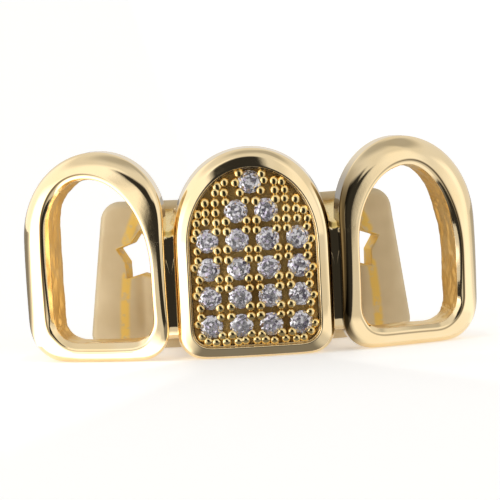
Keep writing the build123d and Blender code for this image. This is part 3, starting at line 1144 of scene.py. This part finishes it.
def colour_marks(material, attribute, colour, ragged=False):
    """Blends the base colour towards another one where the attribute, times the ragged noise, is one."""
    tree = material.node_tree
    shader = tree.nodes["finish"]
    paint = shader.inputs["Base Color"].links[0].from_socket
    factor = add_node(tree, "Attribute", attribute_name=attribute).outputs["Fac"]
    if ragged:
        noise = object_noise(tree, ragged_waves, ragged_detail)
        broken = two_colours(tree, noise, 3 * (faint_streak,), 3 * (1,), 0.35, 0.5)
        factor = add_node(tree, "Math", {0: factor, 1: broken}, operation="MULTIPLY").outputs["Value"]
    mix = add_node(tree, "Mix", data_type="RGBA")
    fill(tree, mix, {"Factor": factor, "A": paint, "B": (*colour, 1)})
    fill(tree, shader, {"Base Color": mix.outputs["Result"]})
    print(material.name, "follows", attribute)


# The rims' crests and gaps get their painted dark reflection.
colour_marks(polished, "crest", crest_reflection_dark)
colour_marks(shaded_satin, "streak", streak_yellow, ragged=True)

# %% [markdown]
# ## Cut stones
#
# The imported stones have a table, crown and pavilion, but at this size what the eye sees is sparkle: many
# small flashes, some white, some violet grey. Small cells of a Voronoi pattern tilt the normal, each its
# own way, and give each cell its own tint between violet grey and white, a painted sparkle of shaded and lit
# facets. True refraction alone would need far more samples to settle.

# %% Stone finish
stone_cells = 7500
cell_tilt = 0.8
# Tints of the sparkle cells, from shadowed facets to lit ones: painted light and shade.
stone_shadow, stone_light = (0.50, 0.44, 0.58), (0.98, 0.96, 1.0)


def vector_calc(tree, operation, *values):
    """Vector Math node on sockets or vectors."""
    return add_node(tree, "VectorMath", enumerate(values), operation=operation).outputs["Vector"]


stone, tree, shader = new_material("cut_stone")
place = add_node(tree, "TexCoord").outputs["Object"]
cells = add_node(tree, "TexVoronoi", {"Vector": place, "Scale": stone_cells}).outputs["Color"]
surface = add_node(tree, "NewGeometry").outputs["Normal"]
centred = vector_calc(tree, "SUBTRACT", cells, (0.5, 0.5, 0.5))
tilted = vector_calc(tree, "MULTIPLY_ADD", centred, (cell_tilt, cell_tilt, cell_tilt), surface)
shade = add_node(tree, "SeparateColor", {"Color": cells}).outputs["Red"]
fill(tree, shader, {"Transmission Weight": 0.7, "Metallic": 0.45, "IOR": 2.15, "Roughness": 0.0,
                    "Normal": vector_calc(tree, "NORMALIZE", tilted),
                    "Base Color": two_colours(tree, shade, stone_shadow, stone_light, 0.1, 0.4)})
print("sparkle cells across a stone", round(stone_width * mm * stone_cells, 1))

# %% [markdown]
# ## Dressing the pieces
#
# Each new piece rides on the part's one body, and the imported nodes that it stands for are hidden. The inner
# walls of the frames get the casting's skin, and the upper faces of the webs get solder, face by face, so
# that one mesh carries both finishes. Splitting them off would leave seams.
# The panel and the stones stay the imported solids and only get new materials.

# %% Dress
solder_slope = 0.35


def dress(piece, materials, slot, *nodes_replaced):
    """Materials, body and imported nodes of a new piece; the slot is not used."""
    for material in materials:
        piece.data.materials.append(material)
    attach(piece, "root")
    if nodes_replaced:
        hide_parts(*nodes_replaced)
    print(piece.name, "wears", [material.name for material in materials])


def second_finish(piece, faces):
    """Gives the second material to the faces of a mask."""
    piece.data.polygons.foreach_set("material_index", faces.astype(np.int32))


def rough_walls(piece, firsts, step):
    """Gives the casting's skin to the faces from the given step of the section to its end."""
    second_finish(piece, np.arange(len(piece.data.polygons)) % firsts[-1] >= firsts[step])


for piece in (right_frame, left_frame, middle_frame):
    dress(piece, [polished, cast_skin], "polished_gold", "cast_frame")
rough_walls(right_frame, rim_firsts, inner_wall)
rough_walls(left_frame, rim_firsts, inner_wall)
rough_walls(middle_frame, cap_firsts, shelf_wall)
# The band's darker satin carries partly painted shade.
dress(back_band, [shaded_satin], "polished_gold", "cast_frame")
for piece in (right_web, left_web):
    dress(piece, [polished, solder], "polished_gold", "cast_frame")
    normals = np.empty(3 * len(piece.data.polygons))
    piece.data.polygons.foreach_get("normal", normals)
    second_finish(piece, normals.reshape(-1, 3)[:, 2] > solder_slope)
dress(panel_beads, [warm], "panel_gold")

packed_finish = {name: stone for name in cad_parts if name.startswith("stone")}
# The panel's ground carries painted shade for the recesses between the beads.
packed_finish["pave_panel"] = shaded_ground
for name, material in packed_finish.items():
    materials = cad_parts[name].data.materials
    materials.clear()
    materials.append(material)
print("packed nodes with a new finish", len(packed_finish))

# %% [markdown]
# ## The white table
#
# The photograph's table is so bright that it melts into the background. A large plain floor with a slight
# glow of its own gives that, and still takes the soft shadow under the part.

# %% Floor
floor_half = 6.0            # metres
floor_mesh = bpy.data.meshes.new("floor")
floor_corners = [(x * floor_half, y * floor_half, 0) for x, y in ((-1, -1), (1, -1), (1, 1), (-1, 1))]
floor_mesh.from_pydata(floor_corners, [], [(0, 1, 2, 3)])
floor = bpy.data.objects.new("floor", floor_mesh)
bpy.context.scene.collection.objects.link(floor)
floor_paint, tree, shader = new_material("floor_paint")
fill(tree, shader, {"Base Color": (0.93, 0.93, 0.93, 1), "Roughness": 0.7,
                    "Emission Color": (1.0, 0.99, 0.97, 1), "Emission Strength": 0.34})
floor_mesh.materials.append(floor_paint)
print("floor, m", 2 * floor_half)

# %% [markdown]
# ## A tent of light, by direction
#
# Polished metal shows the room rather than itself. The photograph was taken in a white tent: large white
# sides, a white top, a white table, and a dark gap round the lens. Lamps and cards could stand in for it,
# but their edges are hard to place on metal that curves two ways. Here the sky's brightness is laid on in
# soft patches, one over another, each given by its directions, so one number moves a reflection.

# %% Patches of light


def calc(tree, operation, *values):
    """Math node on sockets or numbers."""
    return add_node(tree, "Math", enumerate(values), operation=operation).outputs["Value"]


def smooth_step(tree, value, start, stop):
    """Smooth step from 0 at start to 1 at stop."""
    inputs = {"Value": value, "From Min": start, "From Max": stop}
    return add_node(tree, "MapRange", inputs, interpolation_type="SMOOTHSTEP").outputs["Result"]


def between(tree, value, limits, soft):
    """One inside the limits and zero outside, with soft edges."""
    low_limit, high_limit = limits
    above = smooth_step(tree, value, low_limit - soft, low_limit + soft)
    below = calc(tree, "SUBTRACT", 1.0, smooth_step(tree, value, high_limit - soft, high_limit + soft))
    return calc(tree, "MULTIPLY", above, below)


def blend(tree, brightness, level, mask):
    """Brightness so far, replaced by the level where the mask is one."""
    change = calc(tree, "MULTIPLY", mask, calc(tree, "SUBTRACT", level, brightness))
    return calc(tree, "ADD", brightness, change)


def azimuth_of(tree, vector):
    """Degrees round the upright axis from the camera's side, positive to the right, and the split vector."""
    split = add_node(tree, "SeparateXYZ", {"Vector": vector}).outputs
    front = calc(tree, "MULTIPLY", split["Y"], -1.0)
    return calc(tree, "MULTIPLY", calc(tree, "ARCTAN2", split["X"], front), math.degrees(1)), split


# %% Sky
# Level, range of azimuth, range of elevation, softness. Azimuth 0 is the camera's side, 90 the right.
sky_base = 0.80
sky_patches = [
    (0.48, (-400, 400), (70, 112), 12),
    (0.46, (68, 150), (50, 100), 8),
    (1.2, (-150, -18), (-25, 46), 9),
    (2.4, (-99, -52), (-25, 18), 8),
    (1.05, (34, 62), (-25, 44), 8),
    (1.2, (74, 101), (-25, 24), 8),
    (0.03, (-22.5, 29), (-25, 24), 3),
    (0.03, (-30, 14), (14, 37), 5),
]
world = bpy.data.worlds.new("tent")
bpy.context.scene.world = world
world.use_nodes = True
tree = world.node_tree
azimuth, split = azimuth_of(tree, add_node(tree, "TexCoord").outputs["Generated"])
elevation = calc(tree, "MULTIPLY", calc(tree, "ARCSINE", split["Z"]), math.degrees(1))
sky = sky_base
for level, azimuth_limits, elevation_limits, soft in sky_patches:
    mask = calc(tree, "MULTIPLY", between(tree, azimuth, azimuth_limits, soft),
                between(tree, elevation, elevation_limits, soft))
    sky = blend(tree, sky, level, mask)
fill(tree, tree.nodes["Background"], {"Color": (1.0, 0.985, 0.96, 1), "Strength": sky})
print("sky patches", len(sky_patches))

# %% [markdown]
# ## What the metal sees on the table
#
# The lower half of every reflection is the table, with the part's own shade and the dark gap running down
# into it. A ring of glowing paper just above the floor carries the same kind of patches, and only
# reflections see it, so that the table itself stays white for the camera. It starts outside the part, so
# that nothing lies under the metal.

# %% Paper on the table
front_line = 24.5           # distance of the paper's front edge from the arch axis
side_reach = 13.2
back_line = {85: 13.2, 100: 13.3, 125: 10.5, 150: 6.5, 180: 5.6}    # distance from the origin, by azimuth
horizon = 5000.0
paper_height = 0.04
paper_rays = 121
table_base = 0.85
table_patches = [(0.26, (-400, -112), 10), (0.7, (-60, 60), 8), (2.4, (-99, -44), 7), (1.2, (74, 101), 8),
                 (0.45, (118, 400), 8), (0.03, (-20.5, 29), 3)]
foot_patches = [(0.22, (-3.8, 3.8), 0.5), (1.05, (5.5, 16), 0.8)]   # level, range of x, softness
foot_depth, foot_depth_soft = (-9, 0.0), 1.0


def table_sheet():
    """Ring on the floor from just outside the part to the horizon."""
    turn = np.linspace(-180, 180, paper_rays)
    ahead = arch_axis * np.cos(np.radians(turn))
    front = np.minimum(np.sqrt(ahead ** 2 + front_line ** 2 - arch_axis ** 2) - ahead, side_reach)
    behind = np.interp(np.abs(turn), list(back_line), list(back_line.values()))
    near = np.where(np.abs(turn) < min(back_line), front, behind)
    ring = np.stack([near, np.full_like(near, horizon)])
    x, y = ring * np.sin(np.radians(turn)), -ring * np.cos(np.radians(turn))
    points = np.stack([x, y, 0 * x + paper_height], axis=-1).reshape(-1, 3)
    return make_piece("table_sheet", points, grid_faces(2, paper_rays, False, False))


sheet = table_sheet()
sheet_paint, tree, lamp = new_material("sheet_paint", "Emission")
azimuth, split = azimuth_of(tree, add_node(tree, "TexCoord").outputs["Object"])
glow = table_base
for level, limits, soft in table_patches:
    glow = blend(tree, glow, level, between(tree, azimuth, limits, soft))
close = between(tree, split["Y"], (foot_depth[0] * mm, foot_depth[1] * mm), foot_depth_soft * mm)
for level, (left, right), soft in foot_patches:
    sideways = between(tree, split["X"], (left * mm, right * mm), soft * mm)
    glow = blend(tree, glow, level, calc(tree, "MULTIPLY", sideways, close))
fill(tree, lamp, {"Color": (1.0, 0.98, 0.95, 1), "Strength": glow})
sheet.data.materials.append(sheet_paint)
sheet.visible_camera = False
sheet.visible_diffuse = False
sheet.visible_shadow = False
print("paper from", round(min(back_line.values()), 1), "to", horizon, "mm")

# %% [markdown]
# ## The view
#
# The photograph's whites are plain, so the Standard view shows the colours as they are, without a film
# curve.

# %% View
bpy.context.scene.view_settings.view_transform = "Standard"
